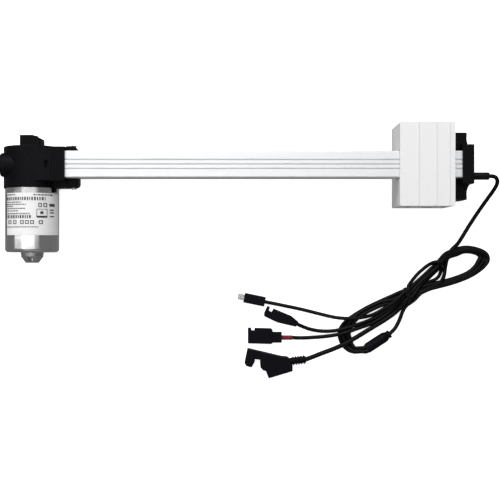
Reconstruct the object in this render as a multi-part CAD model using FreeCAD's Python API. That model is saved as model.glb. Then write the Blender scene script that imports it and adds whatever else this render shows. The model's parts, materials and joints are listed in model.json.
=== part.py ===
import FreeCAD, Part
import math
import os

# Recliner linear actuator: a worm-gear motor turns a lead screw inside an aluminium rail,
# and the screw drives a plastic carriage along the rail. It lies on its back: X runs along
# the rail from gearbox to end cap, Z points up, and the motor hangs towards -Y.
# Units are millimetres. The origin is below the middle of the object's box, to about 1 mm.

V = FreeCAD.Vector

# ---- driving dimensions --------------------------------------------------------------
LENGTH = 525.5            # gearbox end cap to cable end cap
WIDTH = 156.0             # motor tail to far side of the carriage
X_LEFT = -264.0           # outermost face of the gearbox end cap
X_RIGHT = X_LEFT + LENGTH
Y_LOW, Y_HIGH = -WIDTH / 2, WIDTH / 2

MOTOR_X, MOTOR_Z = -232.5, 30.0        # motor axis, parallel to Y
CAN_R, CAN_WALL = 30.0, 1.6
CAN_BASE, CAN_TOP = -66.3, 3.0
PLATE_TOP = 6.0                        # motor front plate meets the gear housing here

SCREW_Y, SCREW_Z = 31.5, 45.0          # lead screw axis, parallel to X

MODULE = 1.0
WHEEL_TEETH = 22
WORM_PITCH_R = 4.0
WHEEL_PITCH_R = MODULE * WHEEL_TEETH / 2
WORM_LEAD = math.pi * MODULE           # single-start right-hand worm
PRESSURE_ANGLE = math.radians(20)

HOUSING_R, HOUSING_TOP = 31.5, 52.6
RAIL_W, RAIL_H = 30.0, 28.0
RAIL_START, RAIL_END = -197.0, 258.0
SCREW_R, JOURNAL_R = 6.0, 4.0
RUNNING = 0.03                         # radial clearance of shafts in bearings

CARRIAGE_L, CARRIAGE_W, CARRIAGE_T = 61.0, 93.0, 63.0
CARRIAGE_X = 210.1                     # centre of the carriage, against the end cap
CAP_START = 249.0

MAIN_D, LEAD_D, USB_D, PLUG_LEAD_D = 4.6, 4.4, 4.2, 5.4
HANK_H = 13.5


# ---- small helpers -------------------------------------------------------------------
def box(x0, x1, y0, y1, z0, z1):
    return Part.makeBox(x1 - x0, y1 - y0, z1 - z0, V(x0, y0, z0))


def cyl_x(y, z, r, x0, x1):
    return Part.makeCylinder(r, x1 - x0, V(x0, y, z), V(1, 0, 0))


def cyl_y(x, z, r, y0, y1):
    return Part.makeCylinder(r, y1 - y0, V(x, y0, z), V(0, 1, 0))


def cyl_z(x, y, r, z0, z1):
    return Part.makeCylinder(r, z1 - z0, V(x, y, z0), V(0, 0, 1))


def motor_cyl(r, y0, y1):
    return cyl_y(MOTOR_X, MOTOR_Z, r, y0, y1)


def screw_cyl(r, x0, x1):
    return cyl_x(SCREW_Y, SCREW_Z, r, x0, x1)


def motor_ring(r_out, r_in, y0, y1):
    return motor_cyl(r_out, y0, y1).cut(motor_cyl(r_in, y0, y1))


def screw_ring(r_out, r_in, x0, x1):
    return screw_cyl(r_out, x0, x1).cut(screw_cyl(r_in, x0, x1))


def group(shapes):
    return Part.Compound([solid for shape in shapes for solid in shape.Solids])


def cut_each(shape, tools):
    """shape less each tool in turn, because tools that overlap can't be cut together."""
    for tool in tools:
        shape = shape.cut(tool)
    return shape


def rounded(shape, radius, wanted):
    """shape with the edges that wanted(edge) accepts rounded to radius."""
    edges = [e for e in shape.Edges if wanted(e)]
    return shape.makeFillet(radius, edges) if edges else shape


def edges_along(axis):
    """A test for straight edges that run along one axis."""
    def wanted(edge):
        if len(edge.Vertexes) != 2:
            return False
        run = edge.Vertexes[1].Point - edge.Vertexes[0].Point
        return abs(run.dot(axis)) > 0.999 * run.Length
    return wanted


def plan_prism(points, z0, z1):
    """A prism on a closed outline of straight lines."""
    corners = [V(x, y, z0) for x, y in points]
    wire = Part.makePolygon(corners + corners[:1])
    return Part.Face(wire).extrude(V(0, 0, z1 - z0))


def plan_blob(points, z0, z1):
    """A prism on a smooth closed outline through the points."""
    curve = Part.BSplineCurve()
    curve.interpolate([V(x, y, z0) for x, y in points], PeriodicFlag=True)
    return Part.Face(Part.Wire(curve.toShape())).extrude(V(0, 0, z1 - z0))


def turned(shape, x, y, angle):
    """shape, drawn pointing along +X from the origin, turned about Z and moved to x, y."""
    out = shape.copy()
    out.rotate(V(0, 0, 0), V(0, 0, 1), angle)
    out.translate(V(x, y, 0))
    return out


# ---- motor ---------------------------------------------------------------------------
def motor_can():
    can = motor_cyl(CAN_R, CAN_BASE, CAN_TOP)
    can = rounded(can, 4.0, lambda e: abs(e.BoundBox.YMax - CAN_BASE) < 0.01)
    can = can.cut(motor_cyl(CAN_R - CAN_WALL, CAN_BASE + 2, CAN_TOP))
    return can.cut(motor_cyl(10.0, CAN_BASE, CAN_BASE + 2))


TAIL_TAPER = -70.5
TAIL_R, TAIL_TIP_R = 12.7, 7.3
TAIL_HOLE_Y, TAIL_HOLE_R = -74.0, 2.6


def motor_tail_mount():
    """Turned steel trunnion on the motor's back, with a cross hole for a pin."""
    tail = motor_cyl(TAIL_R, TAIL_TAPER, CAN_BASE)
    cone = Part.makeCone(TAIL_R, TAIL_TIP_R, TAIL_TAPER - Y_LOW,
                         V(MOTOR_X, TAIL_TAPER, MOTOR_Z), V(0, -1, 0))
    tail = rounded(tail.fuse(cone).removeSplitter(), 1.0,
                   lambda e: abs(e.BoundBox.YMax - Y_LOW) < 0.01)
    groove = motor_ring(TAIL_R, TAIL_R - 0.7, TAIL_TAPER + 0.6, TAIL_TAPER + 1.4)
    spigot = motor_ring(10.0, 8.0, CAN_BASE + 2, CAN_BASE + 7)
    tail = tail.fuse([spigot, motor_cyl(10.0, CAN_BASE, CAN_BASE + 2)]).removeSplitter()
    tail = tail.cut(groove)
    return tail.cut(cyl_z(MOTOR_X, TAIL_HOLE_Y, TAIL_HOLE_R, 0, 60))


def motor_front_plate():
    plate = motor_cyl(CAN_R, CAN_TOP, PLATE_TOP).fuse(motor_cyl(11.0, 0, CAN_TOP))
    plate = plate.removeSplitter().cut(motor_cyl(8.0, 0, 5.5))
    return plate.cut(motor_cyl(JOURNAL_R + 0.5, 5.5, PLATE_TOP))


def motor_magnets():
    ring = motor_ring(CAN_R - CAN_WALL - 0.05, 22.6, -50, -14)
    gap = box(MOTOR_X - 9, MOTOR_X + 9, -50, -14, 0, 60)
    return group([ring.cut(gap)])


ROTOR_R, ROTOR_LOW, ROTOR_HIGH = 21.6, -48.0, -16.0
SLOTS = 8


def slot_bars(width, r0, r1):
    bars = []
    for i in range(SLOTS):
        bar = box(MOTOR_X + r0, MOTOR_X + r1, ROTOR_LOW, ROTOR_HIGH,
                  MOTOR_Z - width / 2, MOTOR_Z + width / 2)
        bar.rotate(V(MOTOR_X, 0, MOTOR_Z), V(0, 1, 0), 360.0 * i / SLOTS)
        bars.append(bar)
    return bars


def rotor_core():
    core = motor_ring(ROTOR_R, JOURNAL_R, ROTOR_LOW, ROTOR_HIGH)
    return core.cut(Part.Compound(slot_bars(3.2, 11.0, 24.0)))


def rotor_windings():
    back = motor_ring(19.0, 7.0, ROTOR_LOW - 6.5, ROTOR_LOW)
    front = motor_ring(19.0, 7.0, ROTOR_HIGH, ROTOR_HIGH + 5.5)
    return back.fuse([front] + slot_bars(3.0, 11.2, 18.9)).removeSplitter()


def commutator():
    copper = motor_ring(9.0, JOURNAL_R, -9, -1)
    slits = []
    for i in range(SLOTS):
        slit = box(MOTOR_X + 8.2, MOTOR_X + 10, -9, -1, MOTOR_Z - 0.3, MOTOR_Z + 0.3)
        slit.rotate(V(MOTOR_X, 0, MOTOR_Z), V(0, 1, 0), 360.0 * (i + 0.5) / SLOTS)
        slits.append(slit)
    return copper.cut(Part.Compound(slits))


def mirrored_about_motor(shape):
    return shape.mirror(V(MOTOR_X, 0, 0), V(1, 0, 0))


def brush_holder():
    card = motor_ring(CAN_R - CAN_WALL - 0.1, 11.3, -0.8, 1.2)
    holder = box(MOTOR_X + 12, MOTOR_X + 25, -9.2, -0.8, MOTOR_Z - 3.7, MOTOR_Z + 3.7)
    holder = holder.cut(box(MOTOR_X + 12, MOTOR_X + 24, -8.05, -1.95, MOTOR_Z - 2.55, MOTOR_Z + 2.55))
    return card.fuse([holder, mirrored_about_motor(holder)]).removeSplitter()


def carbon_brushes():
    brush = box(MOTOR_X + 9.05, MOTOR_X + 16, -8, -2, MOTOR_Z - 2.5, MOTOR_Z + 2.5)
    return group([brush, mirrored_about_motor(brush)])


def brush_springs():
    spring = cyl_x(-5, MOTOR_Z, 2.3, MOTOR_X + 16, MOTOR_X + 24)
    spring = spring.cut(cyl_x(-5, MOTOR_Z, 1.6, MOTOR_X + 16, MOTOR_X + 24))
    return group([spring, mirrored_about_motor(spring)])


def ball_bearing(centre, axis, bore_r, outer_r, width):
    """Inner race, outer race and balls, from centre along axis."""
    def ring(r_out, r_in):
        return Part.makeCylinder(r_out, width, centre, axis).cut(
            Part.makeCylinder(r_in, width, centre, axis))
    depth = outer_r - bore_r
    ball_r = 0.19 * depth
    pitch_r = bore_r + depth / 2
    side = axis.cross(V(0, 0, 1))
    balls = []
    for i in range(8):
        turn = 2 * math.pi * i / 8
        spot = centre + axis * (width / 2) + side * (pitch_r * math.cos(turn))
        balls.append(Part.makeSphere(ball_r, spot + V(0, 0, pitch_r * math.sin(turn))))
    return group([ring(bore_r + 0.3 * depth, bore_r), ring(outer_r, outer_r - 0.3 * depth)] + balls)


def motor_bearing(y):
    return ball_bearing(V(MOTOR_X, y, MOTOR_Z), V(0, 1, 0), JOURNAL_R + RUNNING, 8.0, 5.0)


def motor_label():
    """Thin rating plate wrapped round the upper side of the can."""
    low, high, start, span = -47.0, -0.2, -52.0, 138.0
    wedge = Part.makeCylinder(CAN_R + 0.15, high - low, V(MOTOR_X, low, MOTOR_Z), V(0, 1, 0), span)
    wedge = wedge.cut(motor_cyl(CAN_R, low, high)).Solids[0]
    seam = wedge.CenterOfMass - V(MOTOR_X, 0, MOTOR_Z)
    middle = math.degrees(math.atan2(seam.x, seam.z))
    wedge.rotate(V(MOTOR_X, 0, MOTOR_Z), V(0, 1, 0), start + span / 2 - middle)
    return wedge


# ---- worm and wheel ------------------------------------------------------------------
WORM_ROOT_R = WORM_PITCH_R - 1.25 * MODULE
WORM_TIP_R = WORM_PITCH_R + MODULE
THREAD_HALF = 0.6                       # half thickness of the worm thread at its pitch radius
TOOTH_HALF = 0.675                      # half thickness of a wheel tooth at its pitch radius
WORM_TURNS = 6


def worm_thread():
    """One right-hand thread about the motor axis, with a crest above it at the wheel's middle."""
    def half(r):
        return THREAD_HALF - (r - WORM_PITCH_R) * math.tan(PRESSURE_ANGLE)
    inner = WORM_ROOT_R - 0.25
    corners = [V(inner, 0, -half(inner)), V(WORM_TIP_R, 0, -half(WORM_TIP_R)),
               V(WORM_TIP_R, 0, half(WORM_TIP_R)), V(inner, 0, half(inner))]
    profile = Part.makePolygon(corners + corners[:1])
    helix = Part.makeHelix(WORM_LEAD, WORM_LEAD * WORM_TURNS, WORM_PITCH_R)
    thread = Part.Wire(helix).makePipeShell([profile], True, True)
    # local X, Y, Z become Z, X, Y
    start = SCREW_Y - WORM_LEAD * WORM_TURNS / 2
    thread.transformShape(FreeCAD.Matrix(0, 1, 0, MOTOR_X, 0, 0, 1, start, 1, 0, 0, MOTOR_Z, 0, 0, 0, 1))
    return thread


def worm():
    sleeve = motor_cyl(6.5, 9, 20).cut(motor_cyl(JOURNAL_R, 9, 19.2))
    threaded = motor_cyl(WORM_ROOT_R, 19.2, 43).fuse(worm_thread())
    return threaded.fuse(motor_cyl(2.5, 43, 48)).fuse(sleeve)


def wheel_outline(x, turn):
    """The wheel's toothed outline in the plane at x, turned about the screw axis."""
    base_r = WHEEL_PITCH_R * math.cos(PRESSURE_ANGLE)

    def involute(angle):
        return math.tan(angle) - angle

    def half_angle(r):
        return (TOOTH_HALF / WHEEL_PITCH_R + involute(PRESSURE_ANGLE)
                - involute(math.acos(min(1.0, base_r / r))))
    root_r = WHEEL_PITCH_R - 1.25 * MODULE
    flank = [(root_r, half_angle(base_r))] + [(r, half_angle(r)) for r in (base_r, 10.9, 11.5, 12.0)]
    points = []
    for i in range(WHEEL_TEETH):
        # a gap faces straight down, towards the worm
        middle = -math.pi / 2 + 2 * math.pi * (i + 0.5) / WHEEL_TEETH + turn
        points += [(r, middle - a) for r, a in flank]
        points += [(r, middle + a) for r, a in reversed(flank)]
    corners = [V(x, SCREW_Y + r * math.cos(a), SCREW_Z + r * math.sin(a)) for r, a in points]
    return Part.makePolygon(corners + corners[:1])


WHEEL_FACE = 10.0
WHEEL_HUB_R = 8.0
PIN_X = MOTOR_X - 8.0


def worm_wheel():
    lead_slope = WORM_LEAD / (2 * math.pi * WORM_PITCH_R)
    half_twist = lead_slope * WHEEL_FACE / 2 / WHEEL_PITCH_R
    teeth = Part.makeLoft([wheel_outline(MOTOR_X - WHEEL_FACE / 2, -half_twist),
                           wheel_outline(MOTOR_X + WHEEL_FACE / 2, half_twist)], True, True)
    wheel = teeth.fuse(screw_cyl(WHEEL_HUB_R, MOTOR_X - 11, MOTOR_X + 11))
    wheel = wheel.cut(screw_cyl(JOURNAL_R, MOTOR_X - 11, MOTOR_X + 11))
    return wheel.cut(wheel_pin())


def wheel_pin():
    return cyl_y(PIN_X, SCREW_Z, 1.25, SCREW_Y - 7.9, SCREW_Y + 7.9)


# ---- lead screw ----------------------------------------------------------------------
SCREW_END_LEFT, SCREW_SHOULDER, SCREW_SHOULDER_FAR, SCREW_END_RIGHT = -254.0, -213.5, 244.0, 256.0
LEFT_BEARING_X, RIGHT_BEARING_X = -251.0, -221.0
CLIP_X = -252.6


def lead_screw():
    screw = screw_cyl(JOURNAL_R, SCREW_END_LEFT, SCREW_END_RIGHT)
    screw = screw.fuse(screw_cyl(SCREW_R, SCREW_SHOULDER, SCREW_SHOULDER_FAR)).removeSplitter()
    screw = screw.cut(screw_ring(JOURNAL_R, 3.2, CLIP_X, CLIP_X + 1))
    return screw.cut(wheel_pin())


def screw_circlip():
    ring = screw_ring(5.6, 3.2, CLIP_X, CLIP_X + 1)
    return ring.cut(box(CLIP_X, CLIP_X + 1, SCREW_Y - 1, SCREW_Y + 1, SCREW_Z - 6, SCREW_Z - 3))


def screw_bearing(x):
    return ball_bearing(V(x, SCREW_Y, SCREW_Z), V(1, 0, 0), JOURNAL_R + RUNNING, 11.0, 7.0)


# ---- gear housing --------------------------------------------------------------------
BOSS_R = 13.4                          # the bearing boss on the screw axis
BRIDGE = (MOTOR_X, -208.0, 13.5, 50.4, 27.0, 60.5)
HOUSING_SCREWS = [(-26, -2), (26, -2), (-16, -22), (16, -22)]
BOSS_END = X_LEFT + 3.0


def housing_block():
    """Both housing halves as one block, before it is parted at the screw axis."""
    drum = motor_cyl(HOUSING_R, PLATE_TOP, HOUSING_TOP)
    drum = rounded(drum, 1.5, lambda e: abs(e.BoundBox.YMin - HOUSING_TOP) < 0.01)
    block = drum.fuse([screw_cyl(BOSS_R, BOSS_END, MOTOR_X), box(*BRIDGE)]).removeSplitter()
    block = block.common(box(X_LEFT, 0, 0, Y_HIGH, 0, 80))
    cuts = [
        motor_cyl(9.0, PLATE_TOP, 44.0),
        motor_cyl(5.0, 44.0, 48.5),
        screw_cyl(13.2, MOTOR_X - 6, MOTOR_X + 6),
        screw_cyl(9.0, MOTOR_X - 11.5, MOTOR_X + 11.5),
        screw_cyl(11.0, LEFT_BEARING_X, LEFT_BEARING_X + 7),
        screw_cyl(11.0, RIGHT_BEARING_X, RIGHT_BEARING_X + 7),
        screw_cyl(6.8, BOSS_END, MOTOR_X + HOUSING_R),
        collar_flange(),
        box(-212, BRIDGE[1], SCREW_Y - 4, SCREW_Y + 4, 56, 61),
    ]
    for dx, dz in HOUSING_SCREWS:
        cuts.append(cyl_y(MOTOR_X + dx, MOTOR_Z + dz, 2.0, 12, 46))
        cuts.append(cyl_y(MOTOR_X + dx, MOTOR_Z + dz, 3.6, 46, HOUSING_TOP))
    for spot in pivot_screw_spots():
        cuts.append(cyl_y(spot[0], spot[1], 1.5, 44, HOUSING_TOP))
    return cut_each(block, cuts)


def gear_housing():
    tab = box(MOTOR_X + 28.4, MOTOR_X + 30, 1, PLATE_TOP + 1, 40.5, 45)
    half = housing_block().common(box(X_LEFT, 0, 0, SCREW_Y, 0, 80))
    return half.fuse(tab).removeSplitter()


def gear_housing_cover():
    return housing_block().common(box(X_LEFT, 0, SCREW_Y, Y_HIGH, 0, 80))


def housing_screws():
    screws = []
    for dx, dz in HOUSING_SCREWS:
        shank = cyl_y(MOTOR_X + dx, MOTOR_Z + dz, 2.0, 12, 46)
        head = cyl_y(MOTOR_X + dx, MOTOR_Z + dz, 3.4, 46, 49)
        socket = cyl_y(MOTOR_X + dx, MOTOR_Z + dz, 1.6, 47.2, 49)
        screws.append(shank.fuse(head).removeSplitter().cut(socket))
    return group(screws)


def screw_end_cap():
    dome = screw_cyl(BOSS_R, X_LEFT, BOSS_END)
    dome = rounded(dome, 2.2, lambda e: abs(e.BoundBox.XMax - X_LEFT) < 0.01)
    dome = dome.cut(motor_cyl(HOUSING_R, PLATE_TOP, HOUSING_TOP))
    return dome.fuse(screw_cyl(6.7, BOSS_END, BOSS_END + 4)).removeSplitter()


def worm_end_bush():
    return motor_ring(5.0, 2.5 + RUNNING, 44, 48.5)


# ---- rear pivot on the housing -------------------------------------------------------
PIVOT_W = 23.5
PIVOT_BASE, PIVOT_TOP = HOUSING_TOP + 0.8, 65.8
PIVOT_BUSH_BASE = PIVOT_BASE + 1.2
PIVOT_BORE_R = 5.1


def pivot_screw_spots():
    reach = 8.6
    return [(MOTOR_X + s * reach, MOTOR_Z + s * reach) for s in (-1, 1)]


def pivot_washer():
    half = PIVOT_W / 2 + 0.4
    plate = box(MOTOR_X - half, MOTOR_X + half, HOUSING_TOP, PIVOT_BASE, MOTOR_Z - half, MOTOR_Z + half)
    return plate.cut([cyl_y(x, z, 1.5, HOUSING_TOP, PIVOT_BASE) for x, z in pivot_screw_spots()])


def rear_pivot_block():
    half = PIVOT_W / 2
    block = box(MOTOR_X - half, MOTOR_X + half, PIVOT_BASE, PIVOT_TOP, MOTOR_Z - half, MOTOR_Z + half)
    block = rounded(block, 2.0, edges_along(V(0, 1, 0)))
    slope = plan_prism([(MOTOR_X + 3, PIVOT_TOP + 1), (MOTOR_X + 3, PIVOT_TOP),
                        (MOTOR_X + half - 1, PIVOT_TOP - 3.2), (MOTOR_X + half + 1, PIVOT_TOP - 6),
                        (MOTOR_X + half + 1, PIVOT_TOP + 1)], 0, 60)
    block = block.cut(slope).cut(motor_cyl(6.5, PIVOT_BUSH_BASE, PIVOT_TOP))
    for x, z in pivot_screw_spots():
        block = block.cut([cyl_y(x, z, 1.5, PIVOT_BASE, 57), cyl_y(x, z, 2.7, 57, PIVOT_TOP)])
    return block


def rear_pivot_bush():
    return motor_ring(6.5, PIVOT_BORE_R, PIVOT_BUSH_BASE, PIVOT_TOP)


def pivot_block_screws():
    screws = []
    for x, z in pivot_screw_spots():
        head = cyl_y(x, z, 2.5, 57, 59.5).cut(cyl_y(x, z, 1.2, 58, 59.5))
        screws.append(cyl_y(x, z, 1.5, 44, 57).fuse(head).removeSplitter())
    cut = motor_cyl(6.6, PIVOT_BUSH_BASE, PIVOT_TOP)
    return group([s.cut(cut) for s in screws])


# ---- rail and its collar -------------------------------------------------------------
RAIL_Y0, RAIL_Y1 = SCREW_Y - RAIL_W / 2, SCREW_Y + RAIL_W / 2
RAIL_Z0, RAIL_Z1 = SCREW_Z - RAIL_H / 2, SCREW_Z + RAIL_H / 2
RAIL_WALL, RAIL_TOP_WALL = 2.0, 2.6
RAIL_SLOT = 12.0
GROOVE_PITCH, GROOVE_HALF, GROOVE_DEPTH = 5.0, 0.75, 1.3
COLLAR_X0, COLLAR_X1 = -208.0, -190.0


def rail_envelope(x0, x1):
    return box(x0, x1, RAIL_Y0, RAIL_Y1, RAIL_Z0, RAIL_Z1)


def rail():
    """Aluminium C-section: slot underneath, three V grooves along the top."""
    bar = rounded(rail_envelope(RAIL_START, RAIL_END), 1.5, edges_along(V(1, 0, 0)))
    cavity = box(RAIL_START, RAIL_END, RAIL_Y0 + RAIL_WALL, RAIL_Y1 - RAIL_WALL,
                 RAIL_Z0 + RAIL_WALL, RAIL_Z1 - RAIL_TOP_WALL)
    slot = box(RAIL_START, RAIL_END, SCREW_Y - RAIL_SLOT / 2, SCREW_Y + RAIL_SLOT / 2,
               RAIL_Z0, RAIL_Z0 + RAIL_WALL)
    bar = bar.cut([cavity, slot])
    for i in (-1, 0, 1):
        y = SCREW_Y + i * GROOVE_PITCH
        corners = [V(RAIL_START, y - GROOVE_HALF, RAIL_Z1), V(RAIL_START, y + GROOVE_HALF, RAIL_Z1),
                   V(RAIL_START, y, RAIL_Z1 - GROOVE_DEPTH)]
        groove = Part.Face(Part.makePolygon(corners + corners[:1]))
        bar = bar.cut(groove.extrude(V(RAIL_END - RAIL_START, 0, 0)))
    holes = [cyl_y(CAP_SCREW_X, CAP_SCREW_Z, 1.5, RAIL_Y0 - 1, RAIL_Y1 + 1),
             cyl_y(LUG_SCREW_X, LUG_SCREW_Z, 1.5, RAIL_Y0 - 1, RAIL_Y1 + 1)]
    return bar.cut(holes)


def collar_flange():
    return box(COLLAR_X0 - 4, COLLAR_X0, SCREW_Y - 12.5, SCREW_Y + 12.5, SCREW_Z - 11.5, SCREW_Z + 11.5)


LUG_SCREW_X, LUG_SCREW_Z = -183.0, 41.0
UPPER_LUG_TOP, LOWER_LUG_LOW = 52.0, 6.0


def rail_collar():
    """Moulded collar that the housing halves grip and the rail plugs into, with a lug each side."""
    body = box(COLLAR_X0, COLLAR_X1, 13, 50.8, 24, 61.5)
    body = rounded(body, 1.2, lambda e: edges_along(V(1, 0, 0))(e) and e.BoundBox.ZMin > 61)
    skirt = box(COLLAR_X0 + 1, COLLAR_X1, LOWER_LUG_LOW, 13, 24, 46)
    upper = plan_prism([(COLLAR_X1, RAIL_Y1), (COLLAR_X1, UPPER_LUG_TOP), (-181.5, UPPER_LUG_TOP),
                        (-178.5, 48.4), (-178.5, RAIL_Y1)], 34, 52)
    lower = box(COLLAR_X1, -177.4, LOWER_LUG_LOW, RAIL_Y0, 30, 44)
    lower = rounded(lower, 5.0, lambda e: edges_along(V(0, 0, 1))(e)
                    and e.BoundBox.XMin > -178 and e.BoundBox.YMax < LOWER_LUG_LOW + 1)
    collar = body.fuse([skirt, upper, lower]).removeSplitter()
    collar = collar.cut(motor_cyl(HOUSING_R, PLATE_TOP, 60))
    collar = collar.cut(rail_envelope(RAIL_START, COLLAR_X1 + 30))
    collar = collar.fuse(collar_flange()).removeSplitter().cut(screw_cyl(6.8, COLLAR_X0 - 4, RAIL_START))
    ribs = [box(x, x + 1.0, 14, 49, 61.1, 61.5) for x in (-205.0, -201.5, -198.0, -194.5)]
    tab_room = box(COLLAR_X0 + 1, -202.4, LOWER_LUG_LOW, 7.1, 40.3, 45.2)
    return collar.cut(ribs + [tab_room, cyl_y(LUG_SCREW_X, LUG_SCREW_Z, 1.5, 0, 60)])


def side_screw(x, z, seat, tip):
    """A button-head screw along Y, its head outside seat and its point at tip."""
    out = 1 if seat > tip else -1
    shank = cyl_y(x, z, 1.5, min(seat, tip), max(seat, tip))
    head = cyl_y(x, z, 2.8, min(seat, seat + 1.6 * out), max(seat, seat + 1.6 * out))
    socket = cyl_y(x, z, 1.1, min(seat + 0.6 * out, seat + 1.6 * out), max(seat + 0.6 * out, seat + 1.6 * out))
    return shank.fuse(head).removeSplitter().cut(socket)


def motor_wires():
    """Two motor wires clipped along the rail's inner corner."""
    y = RAIL_Y1 - RAIL_WALL - 1.2
    return group([cyl_x(y, z, 1.0, RAIL_START + 1, 249) for z in (34.4, 36.9)])


# ---- carriage ------------------------------------------------------------------------
CAR_X0, CAR_X1 = CARRIAGE_X - CARRIAGE_L / 2, CARRIAGE_X + CARRIAGE_L / 2
CAR_Y0, CAR_Y1 = SCREW_Y - CARRIAGE_W / 2, SCREW_Y + CARRIAGE_W / 2
PIVOT_X, PIVOT_Z = 214.6, 31.5
PIVOT_DEPTH = 22.0
WINDOW_HALF_W = 16.0
POCKET_DEPTH = 22.0
NUT_HALF_L, NUT_HALF_W = 20.0, 9.5
KEEL_HALF_L, KEEL_HALF_W, KEEL_Z = 17.0, 5.0, 22.0


def carriage_body():
    body = box(CAR_X0, CAR_X1, CAR_Y0, CAR_Y1, 0, CARRIAGE_T - 0.5)
    body = rounded(body, 1.5, edges_along(V(0, 0, 1)))
    ribs = [box(x - 0.9, x + 0.9, CAR_Y0 + 1, CAR_Y1 - 1, CARRIAGE_T - 0.6, CARRIAGE_T)
            for x in (199.7, 219.4, 233.7)]
    body = body.fuse(ribs).removeSplitter()
    window = box(CAR_X0, CAR_X1, SCREW_Y - WINDOW_HALF_W, SCREW_Y + WINDOW_HALF_W,
                 RAIL_Z0 - 0.4, RAIL_Z1 + 0.4)
    keel = box(CARRIAGE_X - KEEL_HALF_L, CARRIAGE_X + KEEL_HALF_L,
               SCREW_Y - KEEL_HALF_W, SCREW_Y + KEEL_HALF_W, KEEL_Z, RAIL_Z0)
    body = body.cut([window, keel])
    bosses = []
    for low, high in ((CAR_Y0, CAR_Y0 + POCKET_DEPTH), (CAR_Y1 - POCKET_DEPTH, CAR_Y1)):
        pockets = [box(x0, x1, low, high, 3, CARRIAGE_T - 3.5)
                   for x0, x1 in ((182.1, 196.5), (205.6, 223.6), (226.6, 238.1))]
        body = body.cut(pockets)
        bosses.append(cyl_y(PIVOT_X, PIVOT_Z, 9.4, low, high))
    body = body.fuse(bosses).removeSplitter()
    body = body.cut([cyl_y(PIVOT_X, PIVOT_Z, 7.0, CAR_Y0, CAR_Y0 + PIVOT_DEPTH),
                     cyl_y(PIVOT_X, PIVOT_Z, 7.0, CAR_Y1 - PIVOT_DEPTH, CAR_Y1)])
    for x in (CARRIAGE_X - 10, CARRIAGE_X + 10):
        body = body.cut([cyl_z(x, SCREW_Y, 4.4, 0, 5), cyl_z(x, SCREW_Y, 2.5, 5, KEEL_Z)])
    return body


def carriage_glides():
    pads = []
    for y0, y1 in ((SCREW_Y - WINDOW_HALF_W, RAIL_Y0 - 0.2), (RAIL_Y1 + 0.2, SCREW_Y + WINDOW_HALF_W)):
        pads.append(box(CAR_X0 + 1, CAR_X1 - 1, y0, y1, RAIL_Z0 + 2, RAIL_Z1 - 2))
    return group(pads)


def screw_nut():
    block = box(CARRIAGE_X - NUT_HALF_L, CARRIAGE_X + NUT_HALF_L,
                SCREW_Y - NUT_HALF_W, SCREW_Y + NUT_HALF_W, 34, 55.5)
    block = rounded(block, 2.0, edges_along(V(1, 0, 0)))
    keel = box(CARRIAGE_X - KEEL_HALF_L, CARRIAGE_X + KEEL_HALF_L,
               SCREW_Y - KEEL_HALF_W, SCREW_Y + KEEL_HALF_W, KEEL_Z, 36)
    nut = block.fuse(keel).removeSplitter().cut(screw_cyl(SCREW_R + 0.06, CAR_X0, CAR_X1))
    return nut.cut([cyl_z(x, SCREW_Y, 2.5, KEEL_Z, 32) for x in (CARRIAGE_X - 10, CARRIAGE_X + 10)])


def carriage_screws():
    screws = []
    for x in (CARRIAGE_X - 10, CARRIAGE_X + 10):
        head = cyl_z(x, SCREW_Y, 4.2, 1, 5).cut(cyl_z(x, SCREW_Y, 2.0, 1, 3.5))
        screws.append(cyl_z(x, SCREW_Y, 2.5, 5, 32).fuse(head).removeSplitter())
    return group(screws)


def carriage_pivot_bushes():
    bushes = []
    for low, high in ((CAR_Y0, CAR_Y0 + PIVOT_DEPTH), (CAR_Y1 - PIVOT_DEPTH, CAR_Y1)):
        bush = cyl_y(PIVOT_X, PIVOT_Z, 7.0, low, high)
        bushes.append(bush.cut(cyl_y(PIVOT_X, PIVOT_Z, PIVOT_BORE_R, low, high)))
    return group(bushes)


# ---- end cap -------------------------------------------------------------------------
CAP_HALF_W = 21.7
CAP_SCREW_X, CAP_SCREW_Z = 253.0, 53.0
EAR_X0, EAR_X1, EAR_HALF_W = 241.0, 257.0, 37.6
RELIEF_Y, RELIEF_Z, RELIEF_R, RELIEF_END = 19.5, 40.0, 4.2, 283.4
PLUG_HALF_W = 12.3


def cap_ear(side):
    """One stop ear: flat to the carriage, sweeping in to the cap behind."""
    root, tip = CAP_HALF_W - 2, EAR_HALF_W
    edges = [Part.makeLine(V(EAR_X0, RAIL_W / 2 + 0.3, 0), V(EAR_X0, tip, 0)),
             Part.makeLine(V(EAR_X0, tip, 0), V(EAR_X1, tip, 0)),
             Part.makeLine(V(EAR_X1, tip, 0), V(EAR_X1, tip - 4, 0)),
             Part.Arc(V(EAR_X1, tip - 4, 0), V(EAR_X1 + 1.2, root + 4.6, 0), V(EAR_X1 + 4, root, 0)).toShape(),
             Part.makeLine(V(EAR_X1 + 4, root, 0), V(CAP_START, root, 0)),
             Part.makeLine(V(CAP_START, root, 0), V(CAP_START, RAIL_W / 2 + 0.3, 0)),
             Part.makeLine(V(CAP_START, RAIL_W / 2 + 0.3, 0), V(EAR_X0, RAIL_W / 2 + 0.3, 0))]
    ear = Part.Face(Part.Wire(edges)).extrude(V(0, 0, 40))
    if side < 0:
        ear = ear.mirror(V(0, 0, 0), V(0, 1, 0))
    ear.translate(V(0, SCREW_Y - 1.2, 5))
    return ear


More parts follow.
